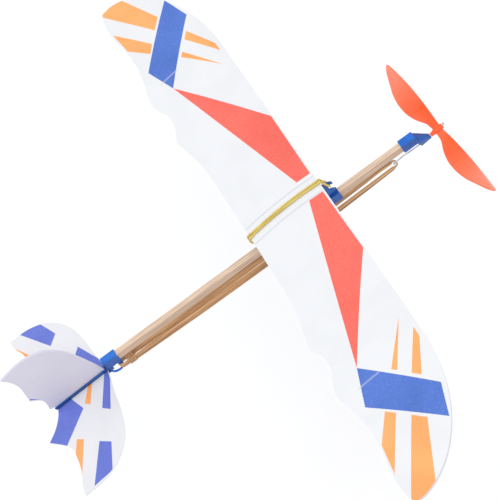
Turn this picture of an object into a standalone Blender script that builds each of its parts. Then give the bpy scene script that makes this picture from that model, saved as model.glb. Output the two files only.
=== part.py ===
"""Rubber band plane: a foam wing and tail on a wooden motor stick, with a wound rubber motor.

Every size below is in millimetres. +X is the nose, +Y is the port side and +Z is up. Pieces are laid
out from a datum on the stick's underside, below the wing, and CENTRE then moves them all so that the
middle of the whole plane is at the origin.
"""

import math

import bmesh
import bpy
import numpy as np
from mathutils import Matrix, Vector

MM = 0.001
CENTRE = (-58.7, 0.0, 17.5)

# Motor stick
STICK_REAR = -175.0
STICK_FRONT = 100.0
STICK_WIDTH = 4.6
STICK_HEIGHT = 6.6
STICK_EDGE = 0.35

# Moulded plastic that fits over the stick
GAP = 0.25
SOCKET_WALL = 0.8
SOCKET_EDGE = 0.4
NOSE_SOCKET_REAR = 89.5
NOSE_SOCKET_FRONT = 101.5
TAIL_SOCKET_REAR = -178.0
TAIL_SOCKET_FRONT = -165.5

# Propeller shaft and its bearing: laid out along X from the middle of the bearing, then turned a
# little up and to port
SHAFT_MIDDLE = (107.0, 0.0, -7.1)
SHAFT_PITCH = 3.0
SHAFT_YAW = 3.0
SHAFT_RADIUS = 0.6
SHAFT_BORE_RADIUS = 0.8
BEARING_HALF = 4.6
BEARING_RADIUS = 1.9
SHAFT_BEND = 17.3
SHAFT_LEG = 2.2
HOOK_BACK = -28.5
HOOK_HALF = 3.5
HOOK_LEAN = 35.0
HOOK_OFFSET = 1.3

# Propeller
BLADE_FRONT = 14.5
BLADE_RADIUS = 61.5
BLADE_PITCH = 150.0
BLADE_THICKNESS = 0.9
BLADE_BULGE = 1.5
BLADE_ANGLE = 20.0
BLADE_RADII = (1.5, 5.5, 8.5, 16.5, 24.0, 30.0, 36.0, 44.0, 50.0, 57.5, 61.5)
BLADE_DEPTHS = (5.5, 6.0, 6.5, 10.3, 12.3, 12.7, 12.4, 10.6, 7.9, 4.3, 0.8)
HUB_PROFILE = ((0.8, 15.9), (1.6, 15.9), (2.2, 15.1), (2.3, 8.6), (1.8, 7.6), (1.6, 5.1), (0.8, 5.1))

# Rubber motor: two closed loops from the shaft's hook to the tail's eye
STRAND_RADIUS = 1.05
LOOP_SPACING = 2.6
UPPER_HALF = 2.4
UPPER_SAG = -1.0
LOWER_HALF = 2.5
LOWER_SAG = -3.5
LOWER_SLACK = 0.5
EYE_X = -173.0
EYE_HEIGHT = -9.2
EYE_RADIUS = 5.0
EYE_WIRE = 0.9
TIE_X = -160.0
TIE_HEIGHT = -9.3
TIE_HALF_WIDTH = 4.9
TIE_HALF_HEIGHT = 3.8
TIE_SQUARENESS = 0.6
TIE_RADIUS = 0.6

# Wing: half outline as (distance from the middle, trailing edge), with a rounded leading edge
WING_THICKNESS = 2.2
WING_FRONT = 28.0
WING_REAR = -35.0
WING_HALF_SPAN = 247.5
WING_TIP_START = 150.0
WING_ELLIPSE_END = 248.0
WING_TIP_SWEEP = 63.0
WING_HEIGHT = 23.5
WING_RISE = 4.6
WING_CAMBER = 2.6
WING_FLAT_HALF = 7.4
WING_DIHEDRAL = 0.055
WING_TIP_CURL = 0.00006
WING_TRAILING = (
    (0, -35), (60, -35), (80, -36.5), (98, -40.5), (107, -42), (112, -40), (119, -37), (130, -36.5),
    (138, -40), (147, -43), (156, -42), (170, -38.5), (188, -36), (205, -37), (222, -39.5),
    (238, -39), (248, -36),
)
WING_CHORD_STEPS = 12

# Wing mount and the band that ties the wing down
MOUNT_WEB = 2.2
SADDLE_WIDTH = 14.0
SADDLE_THICKNESS = 1.2
SADDLE_ENDS = (-33.0, 26.5)
FRONT_SLEEVE = (16.0, 35.0)
REAR_SLEEVE = (-32.0, -16.0)
BAND_RADIUS = 0.8

# Tail: laid out from the foot of the socket and tilted down towards the rear
TAIL_PIVOT = (-178.0, 0.0, -2.2)
TAIL_TILT = -3.0
RAIL_LENGTH = 50.0
RAIL_WIDTH = 3.8
RAIL_HEIGHT = 3.0
RAIL_FLOOR = 0.8
FIN_THICKNESS = 1.8
STABILIZER_THICKNESS = 1.8
TONGUE_LENGTH = 28.0
TONGUE_WIDTH = 5.0
TONGUE_THICKNESS = 0.9
CHIN_ENDS = (-0.9, 3.0)
FIN_OUTLINE = (
    (-2.0, -0.4), (-2.2, 3.0), (-6.3, 35.5), (-9.4, 50.0), (-16.5, 62.6), (-21.0, 67.1), (-30.0, 70.3),
    (-39.3, 70.4), (-51.4, 67.8), (-53.7, 64.7), (-50.2, 57.0), (-50.4, 46.0), (-54.2, 32.6),
    (-54.6, 26.5), (-50.5, 18.7), (-50.5, 11.5), (-53.0, 3.5), (-51.5, 2.0), (-49.5, 1.9), (-49.5, -0.4),
)
STABILIZER_HALF = (
    (-1.0, 0.0), (-2.4, 10.0), (-4.4, 22.0), (-6.0, 36.0), (-9.0, 47.0), (-13.0, 56.0), (-20.0, 65.0),
    (-29.0, 71.0), (-43.0, 75.0), (-54.0, 75.6), (-59.0, 74.0), (-59.0, 68.0), (-54.5, 60.0),
    (-52.5, 48.0), (-53.0, 37.0), (-56.0, 31.0), (-66.0, 21.5), (-57.0, 14.0), (-50.0, 5.0), (-48.0, 0.0),
)


# ---------------------------------------------------------------- scene and helpers


def clear_scene():
    for item in list(bpy.data.objects):
        bpy.data.objects.remove(item)


def new_collection(name):
    collection = bpy.data.collections.new(name)
    bpy.context.scene.collection.children.link(collection)
    return collection


def plain_material(name, colour, roughness, metallic=0.0):
    """A Principled material of one colour."""
    material = bpy.data.materials.new(name)
    material.use_nodes = True
    shader = material.node_tree.nodes["Principled BSDF"]
    shader.inputs["Base Color"].default_value = (*colour, 1.0)
    shader.inputs["Roughness"].default_value = roughness
    shader.inputs["Metallic"].default_value = metallic
    material.diffuse_color = (*colour, 1.0)
    return material


def scaled(point):
    return Vector(point) * MM


def add_object(name, mesh, collection, material=None):
    item = bpy.data.objects.new(name, mesh)
    collection.objects.link(item)
    if material:
        mesh.materials.append(material)
    return item


def finish_mesh(name, form, collection, material=None, smooth=False):
    """Turn a bmesh into an object, with its normals outwards."""
    bmesh.ops.recalc_face_normals(form, faces=form.faces)
    mesh = bpy.data.meshes.new(name)
    form.to_mesh(mesh)
    form.free()
    for face in mesh.polygons:
        face.use_smooth = smooth
    return add_object(name, mesh, collection, material)


def box(name, low, high, collection, material=None, edge=0.0):
    """A box between two corners, with optional rounded edges."""
    low = np.array(low, dtype=float)
    high = np.array(high, dtype=float)
    form = bmesh.new()
    size = Matrix.Diagonal((*((high - low) * MM), 1.0))
    bmesh.ops.create_cube(form, size=1.0, matrix=Matrix.Translation(scaled((low + high) / 2)) @ size)
    if edge:
        bmesh.ops.bevel(form, geom=form.edges[:], offset=edge * MM, segments=2, affect="EDGES", profile=0.5)
    return finish_mesh(name, form, collection, material)


def rod(name, start, end, radius, collection, sides=24):
    """A cylinder between two points."""
    start = scaled(start)
    end = scaled(end)
    along = end - start
    turn = along.to_track_quat("Z", "Y").to_matrix().to_4x4()
    form = bmesh.new()
    place = Matrix.Translation((start + end) / 2) @ turn
    bmesh.ops.create_cone(
        form, cap_ends=True, segments=sides, radius1=radius * MM, radius2=radius * MM,
        depth=along.length, matrix=place,
    )
    return finish_mesh(name, form, collection)


def hull(name, points, collection):
    """The smallest convex solid around some points."""
    form = bmesh.new()
    for point in points:
        form.verts.new(scaled(point))
    found = bmesh.ops.convex_hull(form, input=form.verts)
    loose = [v for v in found["geom_interior"] + found["geom_unused"] if isinstance(v, bmesh.types.BMVert)]
    bmesh.ops.delete(form, geom=list(set(loose)), context="VERTS")
    return finish_mesh(name, form, collection)


def combine(target, other, operation):
    """Leave a live Boolean on the target that adds or cuts the other object."""
    modifier = target.modifiers.new(other.name, "BOOLEAN")
    modifier.operation = operation
    modifier.solver = "EXACT"
    modifier.object = other
    return modifier


def smooth_curve(points, steps, closed):
    """Catmull-Rom points through the given points, as an array."""
    points = np.array(points, dtype=float)
    count = len(points)
    spans = count if closed else count - 1
    result = []
    for span in range(spans):
        near = [(span + k) % count if closed else min(max(span + k, 0), count - 1) for k in (-1, 0, 1, 2)]
        a, b, c, d = points[near]
        for step in range(steps):
            t = step / steps
            bend = (2 * a - 5 * b + 4 * c - d) * t**2 + (3 * b - a - 3 * c + d) * t**3
            result.append(0.5 * (2 * b + (c - a) * t + bend))
    if not closed:
        result.append(points[-1])
    return np.array(result)


def mesh_from_curve(name, data, collection, place, material, smooth):
    """Turn a curve into a closed mesh object and drop the curve."""
    source = bpy.data.objects.new(name + " path", data)
    collection.objects.link(source)
    bpy.context.view_layer.update()
    depsgraph = bpy.context.evaluated_depsgraph_get()
    mesh = bpy.data.meshes.new_from_object(source.evaluated_get(depsgraph))
    bpy.data.objects.remove(source)
    form = bmesh.new()
    form.from_mesh(mesh)
    bpy.data.meshes.remove(mesh)
    bmesh.ops.remove_doubles(form, verts=form.verts, dist=0.00001)
    bmesh.ops.transform(form, matrix=place, verts=form.verts)
    return finish_mesh(name, form, collection, material, smooth)


def tube(name, points, radius, collection, material=None, closed=False):
    """A round wire, cord or band along a list of points."""
    data = bpy.data.curves.new(name, "CURVE")
    data.dimensions = "3D"
    data.bevel_depth = radius * MM
    data.bevel_resolution = 2
    data.use_fill_caps = True
    spline = data.splines.new("POLY")
    spline.points.add(len(points) - 1)
    for knot, point in zip(spline.points, points):
        knot.co = (*scaled(point), 1.0)
    spline.use_cyclic_u = closed
    return mesh_from_curve(name, data, collection, Matrix.Identity(4), material, True)


def plate(name, outline, thickness, collection, place, material=None):
    """A flat sheet of the given thickness, from an outline in its own X and Y."""
    data = bpy.data.curves.new(name, "CURVE")
    data.dimensions = "2D"
    data.fill_mode = "BOTH"
    data.extrude = thickness * MM / 2
    spline = data.splines.new("POLY")
    spline.points.add(len(outline) - 1)
    for knot, point in zip(spline.points, outline):
        knot.co = (point[0] * MM, point[1] * MM, 0.0, 1.0)
    spline.use_cyclic_u = True
    return mesh_from_curve(name, data, collection, place, material, False)


def move_mesh(item, place):
    item.data.transform(place)
    return item


UPRIGHT = Matrix.Rotation(math.pi / 2, 4, "X")


# ---------------------------------------------------------------- wing shape


def wing_top(x, y):
    """Height of the wing's upper face: camber along the chord, dihedral along the span."""
    along = (x - WING_REAR) / (WING_FRONT - WING_REAR)
    out = max(abs(y) - WING_FLAT_HALF, 0.0)
    camber = WING_CAMBER * 4 * along * (1 - along)
    return WING_HEIGHT + WING_RISE * along + camber + WING_DIHEDRAL * out + WING_TIP_CURL * out**2


def wing_leading(y):
    """The leading edge is straight, then a quarter ellipse to the tip."""
    along = max(abs(y) - WING_TIP_START, 0.0) / (WING_ELLIPSE_END - WING_TIP_START)
    return WING_FRONT - WING_TIP_SWEEP * (1 - math.sqrt(1 - along**2))


def wing_stations():
    """Distances from the middle where the wing is cut into strips: closer near notches and tip."""
    inner = [0, 8, 20, 34, 48, 60, 70, 80, 89, 98, 103, 107, 110, 112, 115, 119, 125, 130, 134, 138, 142]
    outer = [147, 152, 156, 163, 170, 179, 188, 197, 205, 213, 222, 229, 235, 240, 244, 246.3]
    return [*inner, *outer, WING_HALF_SPAN]


def build_wing(collection, material):
    stations = wing_stations()
    across = [-y for y in reversed(stations[1:])] + stations
    notches = smooth_curve(WING_TRAILING, 6, False)
    form = bmesh.new()
    bmesh.ops.create_grid(form, x_segments=WING_CHORD_STEPS, y_segments=len(across) - 1, size=0.5)
    for vert in form.verts:
        row = round((vert.co.y + 0.5) * (len(across) - 1))
        y = across[row]
        part = (1 - math.cos(math.pi * (vert.co.x + 0.5))) / 2
        rear = float(np.interp(abs(y), notches[:, 0], notches[:, 1]))
        x = rear + (wing_leading(y) - rear) * part
        vert.co = scaled((x, y, wing_top(x, y)))
    wing = finish_mesh("wing", form, collection, material, True)
    if wing.data.polygons[0].normal.z < 0:
        wing.data.flip_normals()
    thicken = wing.modifiers.new("foam", "SOLIDIFY")
    thicken.thickness = WING_THICKNESS * MM
    thicken.offset = -1.0
    thicken.use_even_offset = True
    return wing


# ---------------------------------------------------------------- stick and moulded plastic


def socket_box(name, rear, front, grow, collection, material=None, edge=0.0):
    """A box around the stick, larger than it by the given amount all round."""
    low = (rear, -STICK_WIDTH / 2 - grow, -grow)
    high = (front, STICK_WIDTH / 2 + grow, STICK_HEIGHT + grow)
    return box(name, low, high, collection, material, edge)


def shaft_place():
    """Where the shaft's own layout sits: in the middle of its bearing, turned up and to port."""
    yaw = Matrix.Rotation(math.radians(SHAFT_YAW), 4, "Z")
    pitch = Matrix.Rotation(math.radians(-SHAFT_PITCH), 4, "Y")
    return Matrix.Translation(scaled(SHAFT_MIDDLE)) @ yaw @ pitch


def on_shaft(point):
    """A point of the shaft's layout, in the plane's layout."""
    return tuple(shaft_place() @ scaled(point) / MM)


def build_nose_bearing(collection, cutters, material):
    grow = GAP + SOCKET_WALL
    bearing = socket_box(
        "nose_bearing", NOSE_SOCKET_REAR, NOSE_SOCKET_FRONT, grow, collection, material, SOCKET_EDGE
    )
    corners = [
        (NOSE_SOCKET_FRONT - 0.8, side * (STICK_WIDTH / 2 + 0.5), height)
        for side in (-1, 1)
        for height in (-0.5, STICK_HEIGHT + 0.4)
    ]
    rings = [
        on_shaft((x, BEARING_RADIUS * math.cos(turn), BEARING_RADIUS * math.sin(turn)))
        for x in (-BEARING_HALF, BEARING_HALF)
        for turn in np.linspace(0, 2 * math.pi, 24, endpoint=False)
    ]
    combine(bearing, hull("nose neck", corners + rings, cutters), "UNION")
    hollow = socket_box("nose hollow", NOSE_SOCKET_REAR - 2, STICK_FRONT + GAP, GAP, cutters)
    combine(bearing, hollow, "DIFFERENCE")
    reach = BEARING_HALF + 3
    bore = rod("nose bore", (-reach, 0, 0), (reach, 0, 0), SHAFT_BORE_RADIUS, cutters)
    combine(bearing, move_mesh(bore, shaft_place()), "DIFFERENCE")
    return bearing


def tail_place():
    """Where the tail's own layout sits: at the foot of the socket, tilted."""
    return Matrix.Translation(scaled(TAIL_PIVOT)) @ Matrix.Rotation(math.radians(TAIL_TILT), 4, "Y")


def build_tail_mount(collection, cutters, material):
    grow = GAP + SOCKET_WALL
    mount = socket_box(
        "tail_mount", TAIL_SOCKET_REAR, TAIL_SOCKET_FRONT, grow, collection, material, SOCKET_EDGE
    )
    place = tail_place()
    half = RAIL_WIDTH / 2
    top = RAIL_HEIGHT / 2
    slit = STABILIZER_THICKNESS + 2 * GAP
    under = -top - slit - TONGUE_THICKNESS
    rail = box("tail rail", (-RAIL_LENGTH, -half, -top), (4.0, half, top), cutters)
    chin = box("tail chin", (CHIN_ENDS[0], -half, under), (CHIN_ENDS[1], half, -top + 1.0), cutters)
    tongue = box(
        "tail tongue", (-TONGUE_LENGTH, -TONGUE_WIDTH / 2, under),
        (0.5, TONGUE_WIDTH / 2, under + TONGUE_THICKNESS), cutters,
    )
    slot = box(
        "fin slot", (-RAIL_LENGTH - 2, -FIN_THICKNESS / 2 - GAP, -top + RAIL_FLOOR),
        (-1.0, FIN_THICKNESS / 2 + GAP, top + 1), cutters,
    )
    for item in (rail, chin, tongue):
        combine(mount, move_mesh(item, place), "UNION")
    eye = tube("tail eye", ring_points(), EYE_WIRE, cutters, closed=True)
    stem_foot = EYE_HEIGHT + EYE_RADIUS - 0.4
    stem = box("eye stem", (EYE_X - 1.3, -1.3, stem_foot), (EYE_X + 1.3, 1.3, -0.6), cutters)
    combine(mount, stem, "UNION")
    combine(mount, eye, "UNION")
    combine(mount, move_mesh(slot, place), "DIFFERENCE")
    hollow = socket_box("tail hollow", STICK_REAR - GAP, TAIL_SOCKET_FRONT + 2, GAP, cutters)
    combine(mount, hollow, "DIFFERENCE")
    return mount


def ring_points():
    turns = np.linspace(0, 2 * math.pi, 32, endpoint=False)
    return [(EYE_X + EYE_RADIUS * math.cos(t), 0.0, EYE_HEIGHT + EYE_RADIUS * math.sin(t)) for t in turns]


def build_tail_surfaces(collection, fabric):
    place = tail_place()
    fin = plate("fin", FIN_OUTLINE, FIN_THICKNESS, collection, place @ UPRIGHT, fabric["fin"])
    port = list(STABILIZER_HALF)
    starboard = [(x, -y) for x, y in reversed(STABILIZER_HALF[1:-1])]
    middle = -RAIL_HEIGHT / 2 - GAP - STABILIZER_THICKNESS / 2
    lower = place @ Matrix.Translation((0, 0, middle * MM))
    outline = port + starboard
    tailplane = plate("stabilizer", outline, STABILIZER_THICKNESS, collection, lower, fabric["stabilizer"])
    return fin, tailplane


# ---------------------------------------------------------------- wing mount and band


def mount_profile():
    """Side view of the mount's web: two hooks, with a top that follows the wing's underside."""
    under = WING_THICKNESS + GAP + SADDLE_THICKNESS / 2
    top = [(x, wing_top(x, 0) - under) for x in np.linspace(*SADDLE_ENDS, 9)]
    rear = [(-31.0, 7.2), (-31.0, 13.2), (-33.6, 13.4), (-34.8, 12.6), (-35.6, 12.9), (-35.4, 14.3),
            (-34.2, 15.2), (-31.2, 15.6)]
    front = [(28.3, 22.6), (30.4, 21.4), (33.7, 20.9), (34.9, 19.8), (35.1, 18.5), (34.3, 18.3), (33.3, 19.2),
             (30.9, 19.6), (30.9, 13.2), (33.8, 11.8), (34.2, 7.2)]
    return rear + top + front


def build_wing_mount(collection, cutters, material):
    grow = GAP + SOCKET_WALL
    mount = plate("wing_mount", mount_profile(), MOUNT_WEB, collection, UPRIGHT, material)
    for label, (rear, front) in (("front sleeve", FRONT_SLEEVE), ("rear sleeve", REAR_SLEEVE)):
        combine(mount, socket_box(label, rear, front, grow, cutters, edge=SOCKET_EDGE), "UNION")
    combine(mount, build_saddle(cutters), "UNION")
    hollow = socket_box("mount hollow", REAR_SLEEVE[0] - 3, FRONT_SLEEVE[1] + 3, GAP, cutters)
    combine(mount, hollow, "DIFFERENCE")
    return mount


def build_saddle(cutters):
    """A thin curved plate that the flat middle of the wing rests on."""
    form = bmesh.new()
    bmesh.ops.create_grid(form, x_segments=10, y_segments=1, size=0.5)
    for vert in form.verts:
        x = float(np.interp(vert.co.x, (-0.5, 0.5), SADDLE_ENDS))
        vert.co = scaled((x, SADDLE_WIDTH * vert.co.y, wing_top(x, 0) - WING_THICKNESS - GAP))
    saddle = finish_mesh("saddle", form, cutters)
    thicken = saddle.modifiers.new("plate", "SOLIDIFY")
    thicken.thickness = SADDLE_THICKNESS * MM
    thicken.offset = -1.0
    return saddle


def band_points():
    """One side of the wing's band: under the front hook, over the wing, under the rear hook."""
    lift = GAP + BAND_RADIUS
    over = [(x, wing_top(x, 0) + lift) for x in (25, 16, 5, -6, -18, -28, -33)]
    spread = (1.5, 1.1, 1.0, 1.0, 1.0, 1.2, 1.5)
    side = [(32.2, 1.2, 19.3 - lift), (32.2, 2.0, 19.3), (31.0, 2.1, 22.6), (29.8, 2.0, 25.6)]
    side += [(29.2, 1.9, wing_top(28, 0) + 0.4), (27.8, 1.7, wing_top(28, 0) + lift + 0.2)]
    side += [(x, y, z) for (x, z), y in zip(over, spread)]
    side += [(-35.0, 1.7, wing_top(-35, 0) + lift + 0.1), (-36.4, 1.9, wing_top(-35, 0) - 0.2)]
    side += [(-36.5, 2.0, 20.5), (-34.0, 2.1, 14.6), (-32.6, 2.0, 13.1)]
    side += [(-32.4, 1.2, 13.3 - lift)]
    return side


def build_band(collection, material):
    port = band_points()
    starboard = [(x, -y, z) for x, y, z in reversed(port)]
    ring = smooth_curve(port + starboard, 4, True)
    return tube("wing_band", ring, BAND_RADIUS, collection, material, closed=True)


# ---------------------------------------------------------------- propeller, shaft and rubber


def shaft_points():
    """The shaft's wire: bent over in front of the hub, straight, then an open hook."""
    back = HOOK_BACK
    half = HOOK_HALF
    leg = [(SHAFT_BEND - 0.4, SHAFT_LEG), (SHAFT_BEND, 1.2), (SHAFT_BEND - 0.4, 0.35)]
    straight = [(SHAFT_BEND - 1.2, 0.0), (-BEARING_HALF - 1.5, 0.0)]
    hook = [
        (back + 8.5, 0.0), (back + 7.3, 0.2),
        (back + 5.8, 1.9), (back + 4.4, half - 0.1), (back + 1.4, half), (back + 0.4, half - 0.4),
        (back, half - 1.3), (back, 1.3 - half), (back + 0.4, 0.4 - half), (back + 1.4, -half),
        (back + 4.4, -half), (back + 5.6, 0.7 - half),
    ]
    on_axis = [on_shaft((x, 0.0, height)) for x, height in leg + straight]
    return on_axis + [on_hook(x, height) for x, height in hook]


def on_hook(x, height):
    """A point of the hook, whose top leans to starboard and which sits a little off the shaft's axis."""
    aside, up = leaned(HOOK_OFFSET, height, HOOK_LEAN)
    return on_shaft((x, aside, up))


def leaned(across, height, lean):
    """Turn a point of a cross-section about the middle, with its top going to starboard."""
    turn = math.radians(lean)
    aside = across * math.cos(turn) - height * math.sin(turn)
    return aside, across * math.sin(turn) + height * math.cos(turn)


def build_blade(name, turn, cutters):
    """One twisted blade, with its straighter edge in front."""
    form = bmesh.new()
    bmesh.ops.create_grid(form, x_segments=18, y_segments=5, size=0.5)
    for vert in form.verts:
        out = vert.co.x + 0.5
        radius = BLADE_RADII[0] + (BLADE_RADIUS - BLADE_RADII[0]) * out
        depth = float(np.interp(radius, BLADE_RADII, BLADE_DEPTHS))
        back = vert.co.y + 0.5
        across = (back - 0.5) * depth * 2 * math.pi * radius / BLADE_PITCH
        camber = 0.08 * depth * 4 * back * (1 - back)
        bulge = BLADE_BULGE * math.sin(math.pi * out) * (1 - back)
        vert.co = scaled((BLADE_FRONT - back * depth + camber + bulge, across, radius))
    blade = finish_mesh(name, form, cutters)
    move_mesh(blade, shaft_place() @ Matrix.Rotation(turn, 4, "X"))
    thicken = blade.modifiers.new("blade", "SOLIDIFY")
    thicken.thickness = BLADE_THICKNESS * MM
    thicken.offset = 0.0
    return blade


def build_propeller(collection, cutters, material):
    form = bmesh.new()
    points = [form.verts.new(scaled((x, 0.0, radius))) for radius, x in HUB_PROFILE]
    edges = [form.edges.new((a, b)) for a, b in zip(points, points[1:] + points[:1])]
    bmesh.ops.spin(
        form, geom=points + edges, cent=(0, 0, 0), axis=(1, 0, 0), angle=2 * math.pi, steps=28,
        use_merge=True,
    )
    bmesh.ops.remove_doubles(form, verts=form.verts, dist=0.000001)
    bmesh.ops.transform(form, matrix=shaft_place(), verts=form.verts)
    propeller = finish_mesh("propeller", form, collection, material, True)
    lean = math.radians(90 - BLADE_ANGLE)
    combine(propeller, build_blade("blade port", -lean, cutters), "UNION")
    combine(propeller, build_blade("blade starboard", math.pi - lean, cutters), "UNION")
    return propeller


def loop_points(level, middle_half, sag, slack=0.0):
    """A closed rubber loop: half rings at the hook and the eye, joined by two long sides.

    The slack is added to the half ring at the hook.
    """
    front = Vector(on_hook(HOOK_BACK, 0.0))
    rear = Vector((EYE_X + EYE_RADIUS, 0.0, EYE_HEIGHT))
    front_turn = SHAFT_RADIUS + GAP + STRAND_RADIUS + slack
    rear_turn = EYE_WIRE + 2 * GAP + STRAND_RADIUS
    sides = np.linspace(0, 1, 17)[1:-1]

    def place(part, ahead, across):
        middle = front.lerp(rear, part) + Vector((ahead, 0.0, sag * math.sin(math.pi * part)))
        aside, up = leaned(across, level, HOOK_LEAN * (1 - part))
        return tuple(middle + Vector((0.0, aside, up)))

    def half_width(part):
        swell = math.sin(math.pi * part) ** 0.6
        return front_turn + (rear_turn - front_turn) * part**4 + (middle_half - front_turn) * swell

    def ring(part, radius, start):
        turns = np.radians(np.linspace(start, start + 180, 9))
        return [place(part, radius * math.cos(turn), radius * math.sin(turn)) for turn in turns]

    port = [place(part, 0.0, half_width(part)) for part in sides]
    starboard = [place(part, 0.0, -half_width(part)) for part in reversed(sides)]
    return ring(0.0, front_turn, -90) + port + ring(1.0, rear_turn, 90) + starboard


def build_rubber(collection, materials):
    upper = loop_points(LOOP_SPACING / 2, UPPER_HALF, UPPER_SAG)
    lower = loop_points(-LOOP_SPACING / 2, LOWER_HALF, LOWER_SAG, LOWER_SLACK)
    tube("rubber_loop_upper", upper, STRAND_RADIUS, collection, materials["rubber_loop_upper"], closed=True)
    tube("rubber_loop_lower", lower, STRAND_RADIUS, collection, materials["rubber_loop_lower"], closed=True)
    ring = []
    for turn in np.linspace(0, 2 * math.pi, 32, endpoint=False):
        across = math.copysign(abs(math.cos(turn)) ** TIE_SQUARENESS, math.cos(turn))
        up = math.copysign(abs(math.sin(turn)) ** TIE_SQUARENESS, math.sin(turn))
        ring.append((TIE_X, TIE_HALF_WIDTH * across, TIE_HEIGHT + TIE_HALF_HEIGHT * up))
    tube("rubber_tie", ring, TIE_RADIUS, collection, materials["rubber_tie"], closed=True)


# ---------------------------------------------------------------- the whole plane


def set_origin(item, point):
    """Move an object's origin without moving its mesh."""
    offset = scaled(point)
    item.data.transform(Matrix.Translation(-offset))
    item.location = offset


def make_materials():
    blue = (0.03, 0.16, 0.62)
    foam = (0.86, 0.86, 0.88)
    brown = (0.42, 0.22, 0.10)
    looks = {
        "motor_stick": ((0.72, 0.52, 0.34), 0.6, 0.0),
        "nose_bearing": (blue, 0.35, 0.0),
        "tail_mount": (blue, 0.35, 0.0),
        "wing_mount": (blue, 0.35, 0.0),
        "prop_shaft": ((0.72, 0.72, 0.74), 0.3, 1.0),
        "propeller": ((1.0, 0.15, 0.03), 0.3, 0.0),
        "rubber_loop_upper": (brown, 0.55, 0.0),
        "rubber_loop_lower": (brown, 0.55, 0.0),
        "rubber_tie": ((0.55, 0.34, 0.18), 0.55, 0.0),
        "wing": (foam, 0.7, 0.0),
        "stabilizer": (foam, 0.7, 0.0),
        "fin": (foam, 0.7, 0.0),
        "wing_band": ((0.80, 0.56, 0.10), 0.45, 0.0),
    }
    return {name: plain_material(name, *look) for name, look in looks.items()}


def build():
    clear_scene()
    plane = new_collection("rubber_band_plane")
    cutters = new_collection("cutters")
    materials = make_materials()
    stick_low = (STICK_REAR, -STICK_WIDTH / 2, 0)
    stick_high = (STICK_FRONT, STICK_WIDTH / 2, STICK_HEIGHT)
    box("motor_stick", stick_low, stick_high, plane, materials["motor_stick"], STICK_EDGE)
    build_nose_bearing(plane, cutters, materials["nose_bearing"])
    build_tail_mount(plane, cutters, materials["tail_mount"])
    build_tail_surfaces(plane, materials)
    build_wing(plane, materials["wing"])
    build_wing_mount(plane, cutters, materials["wing_mount"])
    build_band(plane, materials["wing_band"])
    build_rubber(plane, materials)
    shaft = tube("prop_shaft", shaft_points(), SHAFT_RADIUS, plane, materials["prop_shaft"])
    propeller = build_propeller(plane, cutters, materials["propeller"])
    for item in (shaft, propeller):
        set_origin(item, on_shaft((BLADE_FRONT, 0.0, 0.0)))
    shift = -scaled(CENTRE)
    for item in [*plane.objects, *cutters.objects]:
        item.location += shift
    for item in cutters.objects:
        item.hide_render = True
        item.display_type = "WIRE"


build()
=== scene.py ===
"""Rubber band plane: the visual model, its materials, a pale studio floor, light and camera."""

import math

import bmesh
import bpy
import numpy as np
from mathutils import Matrix, Vector

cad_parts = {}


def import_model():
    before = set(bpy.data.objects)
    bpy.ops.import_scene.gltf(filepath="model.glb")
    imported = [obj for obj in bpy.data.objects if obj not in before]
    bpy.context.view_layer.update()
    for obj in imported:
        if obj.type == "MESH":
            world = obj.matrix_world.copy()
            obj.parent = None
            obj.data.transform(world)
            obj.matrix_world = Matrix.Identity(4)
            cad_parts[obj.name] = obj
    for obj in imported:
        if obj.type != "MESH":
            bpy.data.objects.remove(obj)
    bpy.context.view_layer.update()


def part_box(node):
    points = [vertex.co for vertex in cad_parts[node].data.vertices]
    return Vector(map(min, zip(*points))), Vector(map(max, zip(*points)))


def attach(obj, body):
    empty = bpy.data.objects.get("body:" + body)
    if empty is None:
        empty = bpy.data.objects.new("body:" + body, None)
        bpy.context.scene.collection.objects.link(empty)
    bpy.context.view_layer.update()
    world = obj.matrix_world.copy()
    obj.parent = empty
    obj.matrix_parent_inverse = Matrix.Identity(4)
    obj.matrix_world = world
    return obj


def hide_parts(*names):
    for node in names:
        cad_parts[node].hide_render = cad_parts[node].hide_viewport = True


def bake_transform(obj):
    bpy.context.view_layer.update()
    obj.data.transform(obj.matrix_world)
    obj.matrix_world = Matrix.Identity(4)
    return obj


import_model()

MM = 0.001
STICK = ((-175.0, -2.3, 0.0), (100.0, 2.3, 6.6))
# The plane is laid out in millimetres, forward along X, from a point on the stick's underside. The
# frame's own origin lies here in that layout.
CENTRE = Vector(STICK[0]) - Vector(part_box("motor_stick")[0]) / MM

# Moulded boxes round the stick: how far they stand out from it, and each one's rear and front end
SOCKET_GROW = 1.05
NOSE_SOCKET = (89.5, 101.5)
TAIL_SOCKET = (-178.0, -165.5)
FRONT_SLEEVE = (16.0, 35.0)
REAR_SLEEVE = (-32.0, -16.0)

# The shaft's own frame has X along its axis, from the middle of the bearing
SHAFT_MIDDLE = (107.0, 0.0, -7.1)
SHAFT_PITCH = 3.0
SHAFT_YAW = 3.0
BEARING_HALF = 4.6
BEARING_RADIUS = 1.9
NECK_HALF_WIDTH = 2.9
NECK_HEIGHTS = (-0.6, 7.2)
WIRE_RADIUS = 0.6
HOOK_BACK = -28.5
HOOK_HALF = 3.5
HOOK_LEAN = 35.0
HOOK_OFFSET = 1.3

# A blade is a strip of a screw surface: its depth along the shaft at each radius
BLADE_FRONT = 14.5
BLADE_PITCH = 150.0
BLADE_THICKNESS = 0.9
BLADE_RADII = (1.5, 5.5, 8.5, 16.5, 24.0, 30.0, 36.0, 44.0, 50.0, 57.5, 60.6, 61.5)
BLADE_DEPTHS = (5.5, 6.0, 6.5, 10.3, 12.3, 12.7, 12.4, 10.6, 7.9, 4.3, 2.0, 0.8)
BLADE_BULGE = 1.5
BLADE_CAMBER = 0.08
BLADE_LEAN = 70.0

# The eye's place along and below the stick, and its radius
EYE = (-173.0, -9.2, 5.0)
EYE_WIRE_RADIUS = 0.9

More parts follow.
